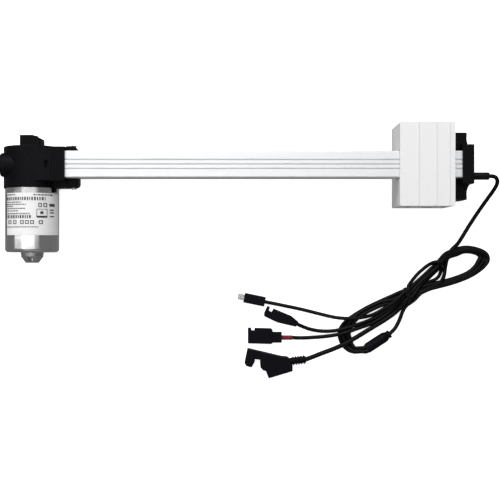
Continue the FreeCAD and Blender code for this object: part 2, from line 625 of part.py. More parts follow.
def end_cap():
    cap = box(CAP_START, X_RIGHT, SCREW_Y - CAP_HALF_W, SCREW_Y + CAP_HALF_W, 18, 62)
    cap = rounded(cap, 1.5, edges_along(V(1, 0, 0)))
    cap = cap.fuse([cap_ear(-1), cap_ear(1)]).removeSplitter()
    cap = cap.cut(rail_envelope(EAR_X0, RAIL_END))
    plug = box(249.5, RAIL_END, SCREW_Y - PLUG_HALF_W, SCREW_Y + PLUG_HALF_W, RAIL_Z0 + 2.2, RAIL_Z1 - 2.8)
    cap = cap.fuse(plug).removeSplitter()
    cuts = [screw_cyl(8.0, 249.5, 256.5), screw_cyl(5.0, 256.5, 258.5),
            cyl_x(RELIEF_Y, RELIEF_Z, RELIEF_R, 259, X_RIGHT)]
    for out in (-1, 1):
        face = SCREW_Y + out * CAP_HALF_W
        inner = SCREW_Y + out * (PLUG_HALF_W - 2)
        cuts.append(cyl_y(CAP_SCREW_X, CAP_SCREW_Z, 1.5, min(face, inner), max(face, inner)))
        cuts.append(cyl_y(CAP_SCREW_X, CAP_SCREW_Z, 3.0, min(face, face - 2 * out), max(face, face - 2 * out)))
    return cut_each(cap, cuts)


def rail_screws():
    """The four small screws that hold the collar and the end cap to the rail's sides."""
    screws = [side_screw(LUG_SCREW_X, LUG_SCREW_Z, UPPER_LUG_TOP, RAIL_Y1 - RAIL_WALL),
              side_screw(LUG_SCREW_X, LUG_SCREW_Z, LOWER_LUG_LOW, RAIL_Y0 + RAIL_WALL)]
    for out in (-1, 1):
        seat = SCREW_Y + out * (CAP_HALF_W - 2)
        screws.append(side_screw(CAP_SCREW_X, CAP_SCREW_Z, seat, SCREW_Y + out * (PLUG_HALF_W - 1)))
    return group(screws)


def screw_end_bush():
    return screw_ring(8.0, JOURNAL_R + RUNNING, 250, 256.5)


SWITCH_STARTS = (234.0, -174.0)        # one below the screw at each end of the travel


def switch_boards():
    floor = RAIL_Z0 + RAIL_WALL
    return group([box(x0 - 2, x0 + 14, SCREW_Y - 8, SCREW_Y + 8, floor, floor + 1) for x0 in SWITCH_STARTS])


def limit_switches():
    bodies = []
    for x0 in SWITCH_STARTS:
        body = box(x0, x0 + 11, SCREW_Y - 5, SCREW_Y + 5, RAIL_Z0 + RAIL_WALL + 1, 38.6)
        bodies.append(rounded(body, 0.6, edges_along(V(0, 0, 1))))
    return group(bodies)


def strain_relief():
    sleeve = cyl_x(RELIEF_Y, RELIEF_Z, RELIEF_R, 259, RELIEF_END)
    return sleeve.makeChamfer(0.9, [e for e in sleeve.Edges if abs(e.BoundBox.XMin - RELIEF_END) < 0.01])


# ---- cables --------------------------------------------------------------------------
MAIN_ROUTE = [(283.4, 19.5, 40), (287.6, 19.6, 39.8), (292, 18, 38.4), (294.4, 12.6, 35), (292, 5.2, 28.5),
              (286.5, -4.5, 20.5), (279, -17.5, 12), (270, -33, 5.6), (260.5, -49.5, 3.4), (250, -64, 4.5)]
SPLITTER_ROUTE = [(176.7, -160.3, 6), (180.8, -157.1, 5.2), (185.4, -151, 3), (189.4, -142.6, 2.5),
                  (192.4, -133.6, 3.4), (197.2, -126, 5)]
USB_ROUTE = [(31.8, -123.7, 3.8), (42, -125.6, 3.2), (54.5, -128.3, 2.5), (74, -132.3, 2.3),
             (97, -138.2, 3), (114, -142, 8), (129, -142.8, 11), (143, -141.6, 10.6)]
LEAD_A_ROUTE = [(69.2, -149.4, 4.6), (76, -152.7, 4), (86, -156.3, 2.6), (99.5, -157.9, 2.5),
                (114, -155.6, 6.5), (128, -150.8, 9.8), (141, -145.8, 8)]
LEAD_B_ROUTE = [(63.5, -165.2, 4.4), (72, -165.8, 3.4), (84, -165.4, 2.5), (99, -164.4, 2.5),
                (113, -162.2, 6.5), (127, -158.4, 10), (141, -153.4, 9)]
PLUG_ROUTE = [(79.3, -190.2, 7), (87, -187.6, 6), (98, -183.4, 3.4), (111, -178.4, 6), (124, -172, 11),
              (139, -163.6, 9), (155, -154, 4.4), (171, -144.4, 3.4), (187, -134.4, 4.5)]

HANK_OUTLINE = [(151, -178.6), (143, -184), (133, -184.2), (123.6, -179), (117, -168), (117, -156),
                (123.6, -145.6), (134.1, -138), (150.3, -128), (172.4, -118.4), (194.4, -108.4),
                (204, -99), (215.3, -86.2), (228.7, -75), (240, -67), (252, -60.8), (268.7, -58),
                (283.1, -61.8), (291.9, -68.6), (294.2, -76), (289.6, -83.6), (271.9, -96), (246.6, -105.5),
                (223.4, -111.2), (208, -117.6), (199, -124), (184, -133), (168, -142), (150, -151),
                (137, -158), (133, -165), (136, -171.5), (143, -175)]
HANK_EYE = [(242, -79), (257.1, -68.5), (272, -66), (279, -72), (278, -80), (269, -89.5), (252.4, -96.6),
            (243.4, -97.6), (240.6, -88)]


def cord_tube(name, route, diameter):
    """A round cord along straight runs joined by tangent arcs, each as large as its runs allow."""
    points = [V(*p) for p in route]
    edges, last, radii = [], points[0], []
    for before, corner, after in zip(points, points[1:], points[2:]):
        back, ahead = before - corner, after - corner
        turn = math.pi - back.getAngle(ahead)
        shorter = min(back.Length, ahead.Length)
        setback = 0.45 * shorter
        radius = setback / math.tan(turn / 2)
        back.normalize()
        ahead.normalize()
        start, end = corner + back * setback, corner + ahead * setback
        inward = back + ahead
        inward.normalize()
        middle = corner + inward * (radius / math.cos(turn / 2) - radius)
        edges += [Part.makeLine(last, start), Part.Arc(start, middle, end).toShape()]
        last = end
        radii.append(radius)
    edges.append(Part.makeLine(last, points[-1]))
    path = Part.Wire(edges)
    normal = points[1] - points[0]
    ring = Part.Wire(Part.makeCircle(diameter / 2, points[0], normal))
    tube = path.makePipeShell([ring], True, False)
    ideal = math.pi * diameter ** 2 / 4 * path.Length
    print(f"{name}: length {path.Length:.1f}, radii " + " ".join(f"{r:.0f}" for r in radii)
          + f", volume ratio {tube.Volume / ideal:.4f}")
    return tube


def cable_hank():
    hank = plan_blob(HANK_OUTLINE, 0, HANK_H)
    return hank.cut(plan_blob(HANK_EYE, 0, HANK_H))


TIE_X, TIE_Y, TIE_ANGLE = 196.7, -115.9, -75.0


def cable_tie():
    """A narrow band round the hank, with its lock on top."""
    outer = Part.makeBox(17.9, 3.0, HANK_H + 1.2, V(-8.95, -1.5, 0))
    outer = rounded(outer, 2.5, lambda e: edges_along(V(0, 1, 0))(e) and e.BoundBox.ZMin > 5)
    band = outer.cut(Part.makeBox(16.0, 3.0, HANK_H, V(-8.0, -1.5, 0)))
    lock = Part.makeBox(5.0, 4.4, 1.6, V(-2.5, -2.2, HANK_H + 1.0))
    return turned(band.fuse(lock).removeSplitter(), TIE_X, TIE_Y, TIE_ANGLE)


SPLITTER_X, SPLITTER_Y, SPLITTER_ANGLE, SPLITTER_L = 150.2, -177.6, 33.1, 31.6


def splitter():
    """The moulded block where one cable becomes four leads."""
    body = Part.makeCylinder(6.0, 24.0, V(0, 0, 6), V(1, 0, 0))
    nose = Part.makeCone(6.0, 4.2, 4.6, V(24, 0, 6), V(1, 0, 0))
    collar = Part.makeCylinder(4.6, 3.0, V(SPLITTER_L - 3, 0, 6), V(1, 0, 0))
    block = body.fuse([nose, collar]).removeSplitter()
    return turned(block, SPLITTER_X, SPLITTER_Y, SPLITTER_ANGLE)


# ---- plugs ---------------------------------------------------------------------------
USB_X, USB_Y, USB_ANGLE = 31.8, -123.7, 168.5


def usb_plug():
    body = Part.makeBox(24.6, 11.2, 7.6, V(0, -5.6, 0))
    body = rounded(body, 1.6, edges_along(V(1, 0, 0)))
    body = body.cut(Part.makeBox(6, 6.9, 1.9, V(18.6, -3.45, 2.85)))
    return turned(body, USB_X, USB_Y, USB_ANGLE)


def usb_plug_shell():
    shell = Part.makeBox(13.6, 6.9, 1.9, V(18.6, -3.45, 2.85))
    shell = shell.cut(Part.makeBox(10, 6.3, 1.3, V(24.6, -3.15, 3.15)))
    tongue = Part.makeBox(6.4, 4.4, 0.5, V(24.6, -2.2, 3.4))
    return turned(shell.fuse(tongue).removeSplitter(), USB_X, USB_Y, USB_ANGLE)


LATCH_X, LATCH_Y, LATCH_ANGLE = 69.2, -149.4, 154.0


def latch_connector():
    """Two-way connector with a hooked latch beside its mouth."""
    body = plan_prism([(0, -3), (0, 3.2), (10, 5.6), (21.5, 8.2), (29, 8.4), (38.6, 8.4), (40, 5), (40, -3.6),
                       (37.2, -3.6), (36.4, 0.6), (32.6, 0.6), (32.2, -4), (10, -5.4)], 0, 9.2)
    mouth = Part.makeBox(9, 5.0, 6.0, V(31, 2.2, 1.6))
    return turned(body.cut(mouth), LATCH_X, LATCH_Y, LATCH_ANGLE)


def socket_connector():
    """Straight four-way connector: shell with a latch notch, stepped down to the cable."""
    shell = plan_prism([(12, -171.4), (12, -153.8), (15.6, -153.8), (16.2, -157), (19.6, -157), (20.2, -154),
                        (39, -154.6), (40.6, -156.2), (40.6, -170.8), (39, -172.2)], 0, 10.5)
    step = Part.makeBox(10.6, 12.2, 8.4, V(40.6, -170.8, 1))
    step = rounded(step, 1.0, edges_along(V(1, 0, 0)))
    mouth = Part.makeBox(11, 9.6, 6.6, V(12, -169.6, 2))
    return shell.fuse(step).removeSplitter().cut(mouth)


def red_sleeve():
    return cyl_x(-165.2, 4.4, 2.6, 51.2, 63.5)


def power_plug():
    """Angled bayonet plug: a long key bar with a bent end, and a deep body behind it."""
    bar = plan_prism([(11.5, -177.4), (50.5, -186.6), (58, -187.3), (60, -189), (63.6, -196), (63.6, -203.2),
                      (36, -211.4), (32.8, -203), (29.4, -202), (26.5, -198.6), (26, -190), (20.3, -189.2),
                      (20, -192.2), (16.4, -198.8), (10.2, -197.2), (8.2, -193.6)], 0, 14)
    bar = bar.cut(Part.makeCylinder(1.7, 9, V(63, -200, 7), V(-1, -0.25, 0)))
    return bar


PLUG_RELIEF_FROM, PLUG_RELIEF_TO = V(60.5, -192.4, 7), V(79.3, -190.2, 7)


def power_plug_relief():
    """Ribbed sleeve where the lead leaves the power plug."""
    run = PLUG_RELIEF_TO - PLUG_RELIEF_FROM
    core = Part.makeCylinder(3.9, run.Length, PLUG_RELIEF_FROM, run)
    way = V(run.x, run.y, run.z)
    way.normalize()
    ribs = []
    for i in range(5):
        ribs.append(Part.makeCylinder(5.0, 1.6, PLUG_RELIEF_FROM + way * (3.4 + 3.1 * i), run))
    return core.fuse(ribs).removeSplitter().cut(power_plug())


# ---- all the pieces ------------------------------------------------------------------
PARTS = {
    "motor_can": motor_can,
    "motor_tail_mount": motor_tail_mount,
    "motor_front_plate": motor_front_plate,
    "motor_magnets": motor_magnets,
    "motor_label": motor_label,
    "brush_holder": brush_holder,
    "carbon_brushes": carbon_brushes,
    "brush_springs": brush_springs,
    "motor_bearing_tail": lambda: motor_bearing(CAN_BASE + 2),
    "motor_bearing_front": lambda: motor_bearing(0.5),
    "motor_shaft": lambda: motor_cyl(JOURNAL_R, CAN_BASE + 2.5, 19.0),
    "rotor_core": rotor_core,
    "rotor_windings": rotor_windings,
    "commutator": commutator,
    "worm": worm,
    "worm_wheel": worm_wheel,
    "wheel_pin": wheel_pin,
    "lead_screw": lead_screw,
    "screw_circlip": screw_circlip,
    "screw_bearing_outer": lambda: screw_bearing(LEFT_BEARING_X),
    "screw_bearing_inner": lambda: screw_bearing(RIGHT_BEARING_X),
    "gear_housing": gear_housing,
    "gear_housing_cover": gear_housing_cover,
    "housing_screws": housing_screws,
    "screw_end_cap": screw_end_cap,
    "worm_end_bush": worm_end_bush,
    "pivot_washer": pivot_washer,
    "rear_pivot_block": rear_pivot_block,
    "rear_pivot_bush": rear_pivot_bush,
    "pivot_block_screws": pivot_block_screws,
    "rail": rail,
    "rail_collar": rail_collar,
    "rail_screws": rail_screws,
    "motor_wires": motor_wires,
    "carriage_body": carriage_body,
    "carriage_glides": carriage_glides,
    "screw_nut": screw_nut,
    "carriage_screws": carriage_screws,
    "carriage_pivot_bushes": carriage_pivot_bushes,
    "end_cap": end_cap,
    "screw_end_bush": screw_end_bush,
    "switch_boards": switch_boards,
    "limit_switches": limit_switches,
    "strain_relief": strain_relief,
    "main_cable": lambda: cord_tube("main_cable", MAIN_ROUTE, MAIN_D),
    "splitter_cable": lambda: cord_tube("splitter_cable", SPLITTER_ROUTE, MAIN_D),
    "usb_lead": lambda: cord_tube("usb_lead", USB_ROUTE, USB_D),
    "latch_lead": lambda: cord_tube("latch_lead", LEAD_A_ROUTE, LEAD_D),
    "socket_lead": lambda: cord_tube("socket_lead", LEAD_B_ROUTE, LEAD_D),
    "power_lead": lambda: cord_tube("power_lead", PLUG_ROUTE, PLUG_LEAD_D),
    "cable_hank": cable_hank,
    "cable_tie": cable_tie,
    "splitter": splitter,
    "usb_plug": usb_plug,
    "usb_plug_shell": usb_plug_shell,
    "latch_connector": latch_connector,
    "socket_connector": socket_connector,
    "red_sleeve": red_sleeve,
    "power_plug": power_plug,
    "power_plug_relief": power_plug_relief,
}

os.makedirs("parts", exist_ok=True)
for name, make in PARTS.items():
    shape = make()
    if not shape.isValid() or shape.Volume <= 0:
        print("NOT VALID:", name)
    shape.exportStep(f"parts/{name}.step")
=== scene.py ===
"""Linear actuator with its cable harness: looks, cords, light and camera.

The frame is the CAD model's own: metres, +X along the rail, +Y from the motor's tail to the gearbox
pivot, +Z up. Lengths below are written in millimetres and go through mm().
"""
import json
import math

import bpy
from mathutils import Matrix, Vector

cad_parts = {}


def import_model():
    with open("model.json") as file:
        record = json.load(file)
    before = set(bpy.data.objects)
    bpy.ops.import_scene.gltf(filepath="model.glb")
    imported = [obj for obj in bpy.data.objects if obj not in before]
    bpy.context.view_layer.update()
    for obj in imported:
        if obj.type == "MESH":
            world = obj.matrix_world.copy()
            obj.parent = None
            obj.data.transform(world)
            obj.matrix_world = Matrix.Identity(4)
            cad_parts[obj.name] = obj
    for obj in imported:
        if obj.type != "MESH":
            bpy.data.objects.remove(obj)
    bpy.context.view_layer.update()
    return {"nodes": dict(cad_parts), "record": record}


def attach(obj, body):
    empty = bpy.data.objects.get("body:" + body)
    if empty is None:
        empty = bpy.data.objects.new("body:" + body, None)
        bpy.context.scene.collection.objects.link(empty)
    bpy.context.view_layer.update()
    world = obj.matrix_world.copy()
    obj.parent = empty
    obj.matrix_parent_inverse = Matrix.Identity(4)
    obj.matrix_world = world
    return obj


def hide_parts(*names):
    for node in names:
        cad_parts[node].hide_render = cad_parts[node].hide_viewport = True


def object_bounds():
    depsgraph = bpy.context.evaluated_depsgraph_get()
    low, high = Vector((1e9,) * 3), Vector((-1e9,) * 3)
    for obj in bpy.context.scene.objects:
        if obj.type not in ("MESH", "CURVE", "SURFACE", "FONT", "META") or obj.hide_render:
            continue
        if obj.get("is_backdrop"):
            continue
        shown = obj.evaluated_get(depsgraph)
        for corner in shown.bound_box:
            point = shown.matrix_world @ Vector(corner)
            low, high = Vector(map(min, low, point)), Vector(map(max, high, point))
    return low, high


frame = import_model()
NODES = frame["nodes"]


def mm(*values):
    """Millimetres to metres."""
    return tuple(value * 0.001 for value in values)


# ---- camera --------------------------------------------------------------------------
CAMERA_AT = (14.5, -63.5, 1105.0)      # straight above the object, looking down
CAMERA_LENS = 68.23                    # on a 36 mm sensor

camera_data = bpy.data.cameras.new("camera")
camera_data.lens = CAMERA_LENS
camera_data.sensor_width = 36.0
camera_data.clip_end = 20.0
camera = bpy.data.objects.new("camera", camera_data)
camera.location = mm(*CAMERA_AT)
bpy.context.scene.collection.objects.link(camera)
bpy.context.scene.camera = camera
bpy.context.scene.view_settings.view_transform = "Standard"


# ---- materials -----------------------------------------------------------------------
class Shader:
    """A Principled material and short ways to add procedural detail to it."""

    def __init__(self, name, color, metallic, roughness):
        self.material = bpy.data.materials.new(name)
        self.material.use_nodes = True
        self.tree = self.material.node_tree
        self.principled = self.tree.nodes["Principled BSDF"]
        self.set("Base Color", (*color, 1.0))
        self.set("Metallic", metallic)
        self.set("Roughness", roughness)
        self.normal = None

    def set(self, socket, value):
        self.principled.inputs[socket].default_value = value

    def node(self, kind, **inputs):
        made = self.tree.nodes.new(kind)
        for name, value in inputs.items():
            made.inputs[name.replace("_", " ")].default_value = value
        return made

    def link(self, source, target):
        self.tree.links.new(source, target)

    def place(self, scale):
        """Object coordinates in metres, stretched by scale."""
        coordinates = self.node("ShaderNodeTexCoord")
        mapping = self.node("ShaderNodeMapping")
        mapping.inputs["Scale"].default_value = scale
        self.link(coordinates.outputs["Object"], mapping.inputs["Vector"])
        return mapping.outputs["Vector"]

    def noise(self, scale, detail=3.0, roughness=0.5):
        texture = self.node("ShaderNodeTexNoise", Scale=1.0, Detail=detail, Roughness=roughness)
        self.link(self.place(scale), texture.inputs["Vector"])
        return texture.outputs["Fac"]

    def spread(self, value, low, high):
        """A 0 to 1 value mapped to low to high."""
        ramp = self.node("ShaderNodeMapRange", From_Min=0.3, From_Max=0.7, To_Min=low, To_Max=high)
        self.link(value, ramp.inputs["Value"])
        return ramp.outputs["Result"]

    def bump(self, value, depth):
        """Height in metres from a 0 to 1 value, added to any bump or edge rounding already there."""
        bump = self.node("ShaderNodeBump", Strength=1.0, Distance=depth)
        self.link(value, bump.inputs["Height"])
        if self.normal:
            self.link(self.normal, bump.inputs["Normal"])
        self.normal = bump.outputs["Normal"]
        self.link(self.normal, self.principled.inputs["Normal"])

    def soft_edges(self, radius):
        edges = self.node("ShaderNodeBevel", Radius=radius)
        edges.samples = 6
        self.normal = edges.outputs["Normal"]
        self.link(self.normal, self.principled.inputs["Normal"])


def moulded(name, color, roughness, grain=0.00004, edge=0.0006, shine=0.5):
    """Moulded plastic: fine sparkle and softened edges."""
    shader = Shader(name, color, 0.0, roughness)
    shader.set("Specular IOR Level", shine)
    shader.soft_edges(edge)
    shader.bump(shader.noise((1400, 1400, 1400), 2.0), grain)
    shader.link(shader.spread(shader.noise((60, 60, 60)), roughness - 0.06, roughness + 0.08),
                shader.principled.inputs["Roughness"])
    return shader


def brushed(name, color, roughness, along, edge=0.0003):
    """Metal with fine lines; along holds the noise scale on each axis, small along the lines."""
    shader = Shader(name, color, 1.0, roughness)
    shader.soft_edges(edge)
    lines = shader.noise(along, 4.0, 0.6)
    shader.bump(lines, 0.000006)
    shader.link(shader.spread(lines, roughness - 0.08, roughness + 0.1),
                shader.principled.inputs["Roughness"])
    return shader


def jacket(name, color, roughness):
    """Extruded cable jacket."""
    shader = Shader(name, color, 0.0, roughness)
    shader.set("Specular IOR Level", 0.12)
    shader.bump(shader.noise((300, 300, 300), 2.0), 0.00003)
    return shader


MATERIALS = {
    "zinc_can": brushed("zinc_can", (0.47, 0.47, 0.47), 0.15, (60, 1500, 60)).material,
    "turned_steel": brushed("turned_steel", (0.40, 0.40, 0.40), 0.38, (60, 1800, 60)).material,
    "ferrite": moulded("ferrite", (0.06, 0.06, 0.065), 0.7).material,
    "label": moulded("label", (0.9, 0.9, 0.9), 0.45, 0.00001).material,
    "housing_black": moulded("housing_black", (0.002, 0.002, 0.003), 0.5, shine=0.08).material,
    "carbon": moulded("carbon", (0.03, 0.03, 0.03), 0.7).material,
    "bright_steel": brushed("bright_steel", (0.36, 0.36, 0.37), 0.3, (400, 400, 400)).material,
    "copper": brushed("copper", (0.62, 0.28, 0.12), 0.35, (300, 300, 300)).material,
    "bronze": brushed("bronze", (0.55, 0.38, 0.16), 0.35, (1500, 60, 60)).material,
    "rail_aluminium": brushed("rail_aluminium", (0.77, 0.78, 0.79), 0.5, (12, 1600, 1600)).material,
    "wire_red": jacket("wire_red", (0.4, 0.03, 0.03), 0.4).material,
    "carriage_white": moulded("carriage_white", (0.86, 0.86, 0.865), 0.42).material,
    "glide_grey": moulded("glide_grey", (0.5, 0.5, 0.48), 0.5).material,
    "board_green": moulded("board_green", (0.03, 0.17, 0.08), 0.4).material,
    "cable_black": jacket("cable_black", (0.002, 0.002, 0.0025), 0.34).material,
    "plug_black": moulded("plug_black", (0.002, 0.002, 0.0045), 0.45, shine=0.08).material,
    "sleeve_red": jacket("sleeve_red", (0.2, 0.015, 0.035), 0.45).material,
}

for part in frame["record"]["subparts"]:
    mesh = NODES[part["node"]].data
    mesh.materials.clear()
    mesh.materials.append(MATERIALS[part["material_slot"]])


# ---- generic marks on the motor's label ----------------------------------------------
CAN_AXIS_X, CAN_AXIS_Z = -232.5, 30.0
MARK_R = 30.5                          # just outside the label's own face
MARKS_FROM_AXIS = 1.5                  # the print's middle, measured across from the can's axis
LARGEST_STEP = 0.8                     # of a bar's facets round the can


def dashes(start, end, y, height, longest=3.2, gap=0.7):
    """Short bars in a row, with lengths that vary, as (x0, x1, y0, y1) from the can's axis."""
    bars, x, i = [], start, 0
    while x < end:
        length = min(longest * (0.45 + 0.55 * abs(math.sin(2.3 * i + y))), end - x)
        bars.append((x, x + length, y - height / 2, y + height / 2))
        x += length + gap
        i += 1
    return bars


def outline(x0, x1, y0, y1, line):
    """The four sides of a frame."""
    return [(x0, x1, y0, y0 + line), (x0, x1, y1 - line, y1),
            (x0, x0 + line, y0, y1), (x1 - line, x1, y0, y1)]


def label_bars():
    """Rows of dashes, two banded strips, and small frames: plain marks in place of print."""
    bars = dashes(-27.4, -13.5, -2.3, 1.3, 2.2) + dashes(6.5, 25.5, -2.3, 1.3, 2.6)
    bars += dashes(-27, 18.5, -6.6, 3.6, 1.8, 1.2) + dashes(-27, 4, -26.6, 3.6, 1.8, 1.2)
    for y, end in ((-10.6, -7), (-13, -1.5), (-15, -17), (-17.5, -2), (-20.2, -11), (-23.2, 3)):
        bars += dashes(-27.4, end, y, 1.0, 2.6)
    bars += dashes(-26.5, 11.5, -37.9, 0.9, 2.4)
    bars += outline(9.7, 20.2, -27.6, -18, 0.5) + [(9.7, 20.2, -27.6, -25.6), (13.5, 16.5, -23.6, -20.6)]
    for x in (-21, -14.5, -6, -0.5, 5, 14):
        bars += outline(x - 2, x + 2, -34.6, -30.6, 0.8)
    bars += outline(11.5, 15, -15.8, -11.4, 0.8) + outline(16.5, 20, -15.8, -11.4, 0.8)
    bars += [(22, 26.5, -15.2, -12), (22.4, 25.8, -19.6, -18.4), (22.4, 25.8, -22.6, -21.4),
             (22.4, 26, -26.8, -25.6)]
    return bars


def label_marks():
    """The bars as thin faces that follow the label's curve."""
    vertices, faces = [], []
    for x0, x1, y0, y1 in label_bars():
        steps = max(1, math.ceil((x1 - x0) / LARGEST_STEP))
        first = len(vertices)
        for i in range(steps + 1):
            x = MARKS_FROM_AXIS + x0 + (x1 - x0) * i / steps
            z = CAN_AXIS_Z + math.sqrt(MARK_R ** 2 - x ** 2)
            vertices += [mm(CAN_AXIS_X + x, y0, z), mm(CAN_AXIS_X + x, y1, z)]
        for i in range(steps):
            corner = first + 2 * i
            faces.append((corner, corner + 2, corner + 3, corner + 1))
    mesh = bpy.data.meshes.new("label_marks")
    mesh.from_pydata(vertices, [], faces)
    mesh.materials.append(Shader("print_grey", (0.05, 0.05, 0.05), 0.0, 0.5).material)
    marks = bpy.data.objects.new("label_marks", mesh)
    bpy.context.scene.collection.objects.link(marks)
    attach(marks, "frame")


label_marks()


# ---- cords ---------------------------------------------------------------------------
MAIN_D, LEAD_D, USB_D, POWER_D = mm(4.6, 4.4, 4.2, 5.4)

# The main cord's three stretches, as plan positions and heights in millimetres: down from the end
# cap, through the hank, and on to the splitter.
RELIEF_TO_HANK = [(283.4, 19.5, 40), (287.6, 19.6, 39.8), (292, 18, 38.4), (294.4, 12.6, 35),
                  (292, 5.2, 28.5), (286.5, -4.5, 20.5), (279, -17.5, 12), (270, -33, 5.6),
                  (260.5, -49.5, 3.4)]
MAIN_IN_HANK = [(253.8, -57.8, 8.5), (248, -62, 11.2), (243.6, -68.5, 11), (241.6, -77, 8),
                (241.2, -85.4, 3), (240, -93, 5), (236, -100, 9.4), (229, -104.2, 10.4),
                (219.5, -107.6, 10.9), (210.5, -114, 11), (205.2, -120.8, 8), (201.2, -124.6, 4)]
HANK_TO_SPLITTER = [(196.6, -127.4, 2.9), (192.4, -133.6, 2.5), (189.4, -142.6, 2.5), (185.4, -151, 3),
                    (180.8, -157.1, 5.2), (176.7, -160.3, 6)]

# The tied bundle: its middle at the tie, and the way across it. A place in it is (across, height).
TIE_AT = Vector((196.7, -115.9))
TIE_ACROSS = Vector((math.cos(math.radians(-75)), math.sin(math.radians(-75))))
TIE_ALONG = Vector((-TIE_ACROSS.y, TIE_ACROSS.x))

# Outer edge of the left loop, from the splitter round to the tie.
LEFT_LOOP = [(144.5, -183.6), (135.5, -184.8), (126.5, -181.6), (119.8, -174.4), (116.0, -164.5),
             (116.9, -154.5), (123.4, -145.4), (134.1, -137.4), (150.3, -127.8), (168.0, -119.6),
             (183.0, -113.0)]
# Outer edge of the right loop, from the tie along the bottom, round the end and back along the top.
RIGHT_LOOP = [(210.0, -117.8), (223.4, -111.1), (235.0, -108.2), (246.6, -105.3), (259.5, -101.2),
              (271.9, -96.0), (282.5, -89.4), (289.8, -82.8), (294.2, -76.0), (293.0, -68.6),
              (288.0, -63.6), (280.0, -60.2), (268.7, -57.9), (260.0, -58.6), (252.0, -60.9)]
# Middle of the three strands that come back from the right loop to the tie.
MIDDLE = [(243.0, -69.4), (236.6, -77.6), (229.8, -84.6), (221.6, -92.2), (213.2, -99.8), (205.2, -107.6)]


def beside(line, places, side):
    """Points beside a plan line: each place is (distance to that side, height); side is 1 for left."""
    points = []
    for i, (here, (away, height)) in enumerate(zip(line, places)):
        before, after = line[max(i - 1, 0)], line[min(i + 1, len(line) - 1)]
        along = (Vector(after) - Vector(before)).normalized()
        points.append((here[0] - side * along.y * away, here[1] + side * along.x * away, height))
    return points


def at_tie(across, height, along=0.0):
    spot = TIE_AT + TIE_ACROSS * across + TIE_ALONG * along
    return (spot.x, spot.y, height)


def through_tie(across, height, way):
    """Two points that carry a strand through the tie; way is 1 towards the right loop."""
    return [at_tie(across, height, -3.5 * way), at_tie(across, height, 3.5 * way)]


SPLITTER_END = Vector((150.2, -177.6))
SPLITTER_ACROSS = Vector((math.sin(math.radians(33.1)), -math.cos(math.radians(33.1))))


def from_splitter(across, height):
    """A lead's first two points, straight out of the splitter's end."""
    out = Vector((-math.cos(math.radians(33.1)), -math.sin(math.radians(33.1))))
    start = SPLITTER_END + SPLITTER_ACROSS * across
    return [(start.x, start.y, height), (start.x + out.x * 3, start.y + out.y * 3, height)]


USB_POINTS = (
    from_splitter(2.4, 3.6)
    + beside(LEFT_LOOP, [(2.1, 2.2)] * 2 + [(2.1, 2.1)] * 9, -1)
    + through_tie(-5.8, 2.1, 1)
    + [(205.8, -109.2, 2.2), (213.6, -104.8, 2.1), (221.8, -101.1, 2.1), (229.4, -98.4, 2.1),
       (234.4, -94.4, 2.1), (236.6, -88.4, 2.2), (236.4, -82.4, 8.5), (233.4, -77.8, 11.2), (228.6, -77, 9),
       (222.4, -80.2, 4),
       (216, -85.4, 2.2), (209, -91.6, 2.4), (201.8, -99.8, 5.4), (196.8, -106.2, 9)]
    + through_tie(-4.6, 10.4, -1)
    + [(183, -122.6, 10.4), (170, -131.4, 6.4), (156.5, -139.2, 6.4),
       (143, -141.6, 10.6), (129, -142.8, 11), (114, -142, 8), (97, -138.2, 3), (74, -132.3, 2.3),
       (54.5, -128.3, 2.5), (42, -125.6, 3.2), (31.8, -123.7, 3.8)]
)


def right_loop(lead):
    """The big loop's lanes: the latch lead lies outside, the power lead inside."""
    lanes = {
        "latch": [(2.2, 2.4)] + [(2.2, 2.2)] * 14,
        "socket": [(5.2, 5.8), (4.6, 6.5)] + [(4.4, 6.6)] * 4 + [(5.4, 5.2), (6.8, 2.3), (7.0, 2.2),
                                                                 (6.8, 2.3), (5.0, 5.4)]
                  + [(4.4, 6.5)] * 3 + [(5.0, 6.0)],
        "power": [(8.4, 2.7), (7.3, 2.7)] + [(6.6, 2.7)] * 4 + [(8.6, 2.7), (11.7, 2.7), (12.5, 2.7),
                                                                (11.7, 2.7), (8.8, 2.7)]
                 + [(6.8, 2.7)] * 3 + [(8.2, 2.8)],
    }
    return beside(RIGHT_LOOP, lanes[lead], 1)


def looped_lead(out, left, tie_out, lead, middle, tie_back, rest):
    """Splitter, left loop, tie, right loop, back through the tie and out to the plug."""
    return (from_splitter(*out) + beside(LEFT_LOOP, left, -1) + through_tie(*tie_out, 1)
            + right_loop(lead) + beside(MIDDLE, middle, 1) + through_tie(*tie_back, -1) + rest)


POWER_POINTS = looped_lead(
    (2.4, 8.6),
    [(3.2, 6.9), (3.2, 6.9), (5.0, 5.6)] + [(6.6, 2.7)] * 4 + [(5.8, 2.8)] * 3 + [(6.4, 2.7)],
    (-1.0, 2.7), "power",
    [(2.6, 2.8)] * 4 + [(2.8, 3.4), (3.4, 6.8)],
    (4.0, 10.8),
    [(186, -134, 6.4), (171, -145, 3.4), (155, -154.4, 4.4), (139, -163.6, 9), (124, -172, 11),
     (111, -178.4, 6), (98, -183.4, 3.4), (87, -187.6, 6), (79.3, -190.2, 7)])

SOCKET_POINTS = looped_lead(
    (-2.4, 3.6),
    [(6.2, 2.2)] * 2 + [(8.0, 2.2)] + [(10.8, 2.2)] * 3
    + [(7.0, 5.8), (2.6, 6.4), (2.4, 6.4), (2.8, 6.4), (8.6, 6.8)],
    (3.9, 6.2), "socket",
    [(0, 6.6)] * 5 + [(0.2, 6.8)],
    (-0.6, 7.2),
    [(183, -130.4, 5), (170, -140.4, 4.2), (156, -149, 5),
     (141, -153.4, 9), (127, -158.4, 10), (113, -162.2, 6.5), (99, -164.4, 2.5), (84, -165.4, 2.5),
     (72, -165.8, 3.4), (63.5, -165.2, 4.4)])

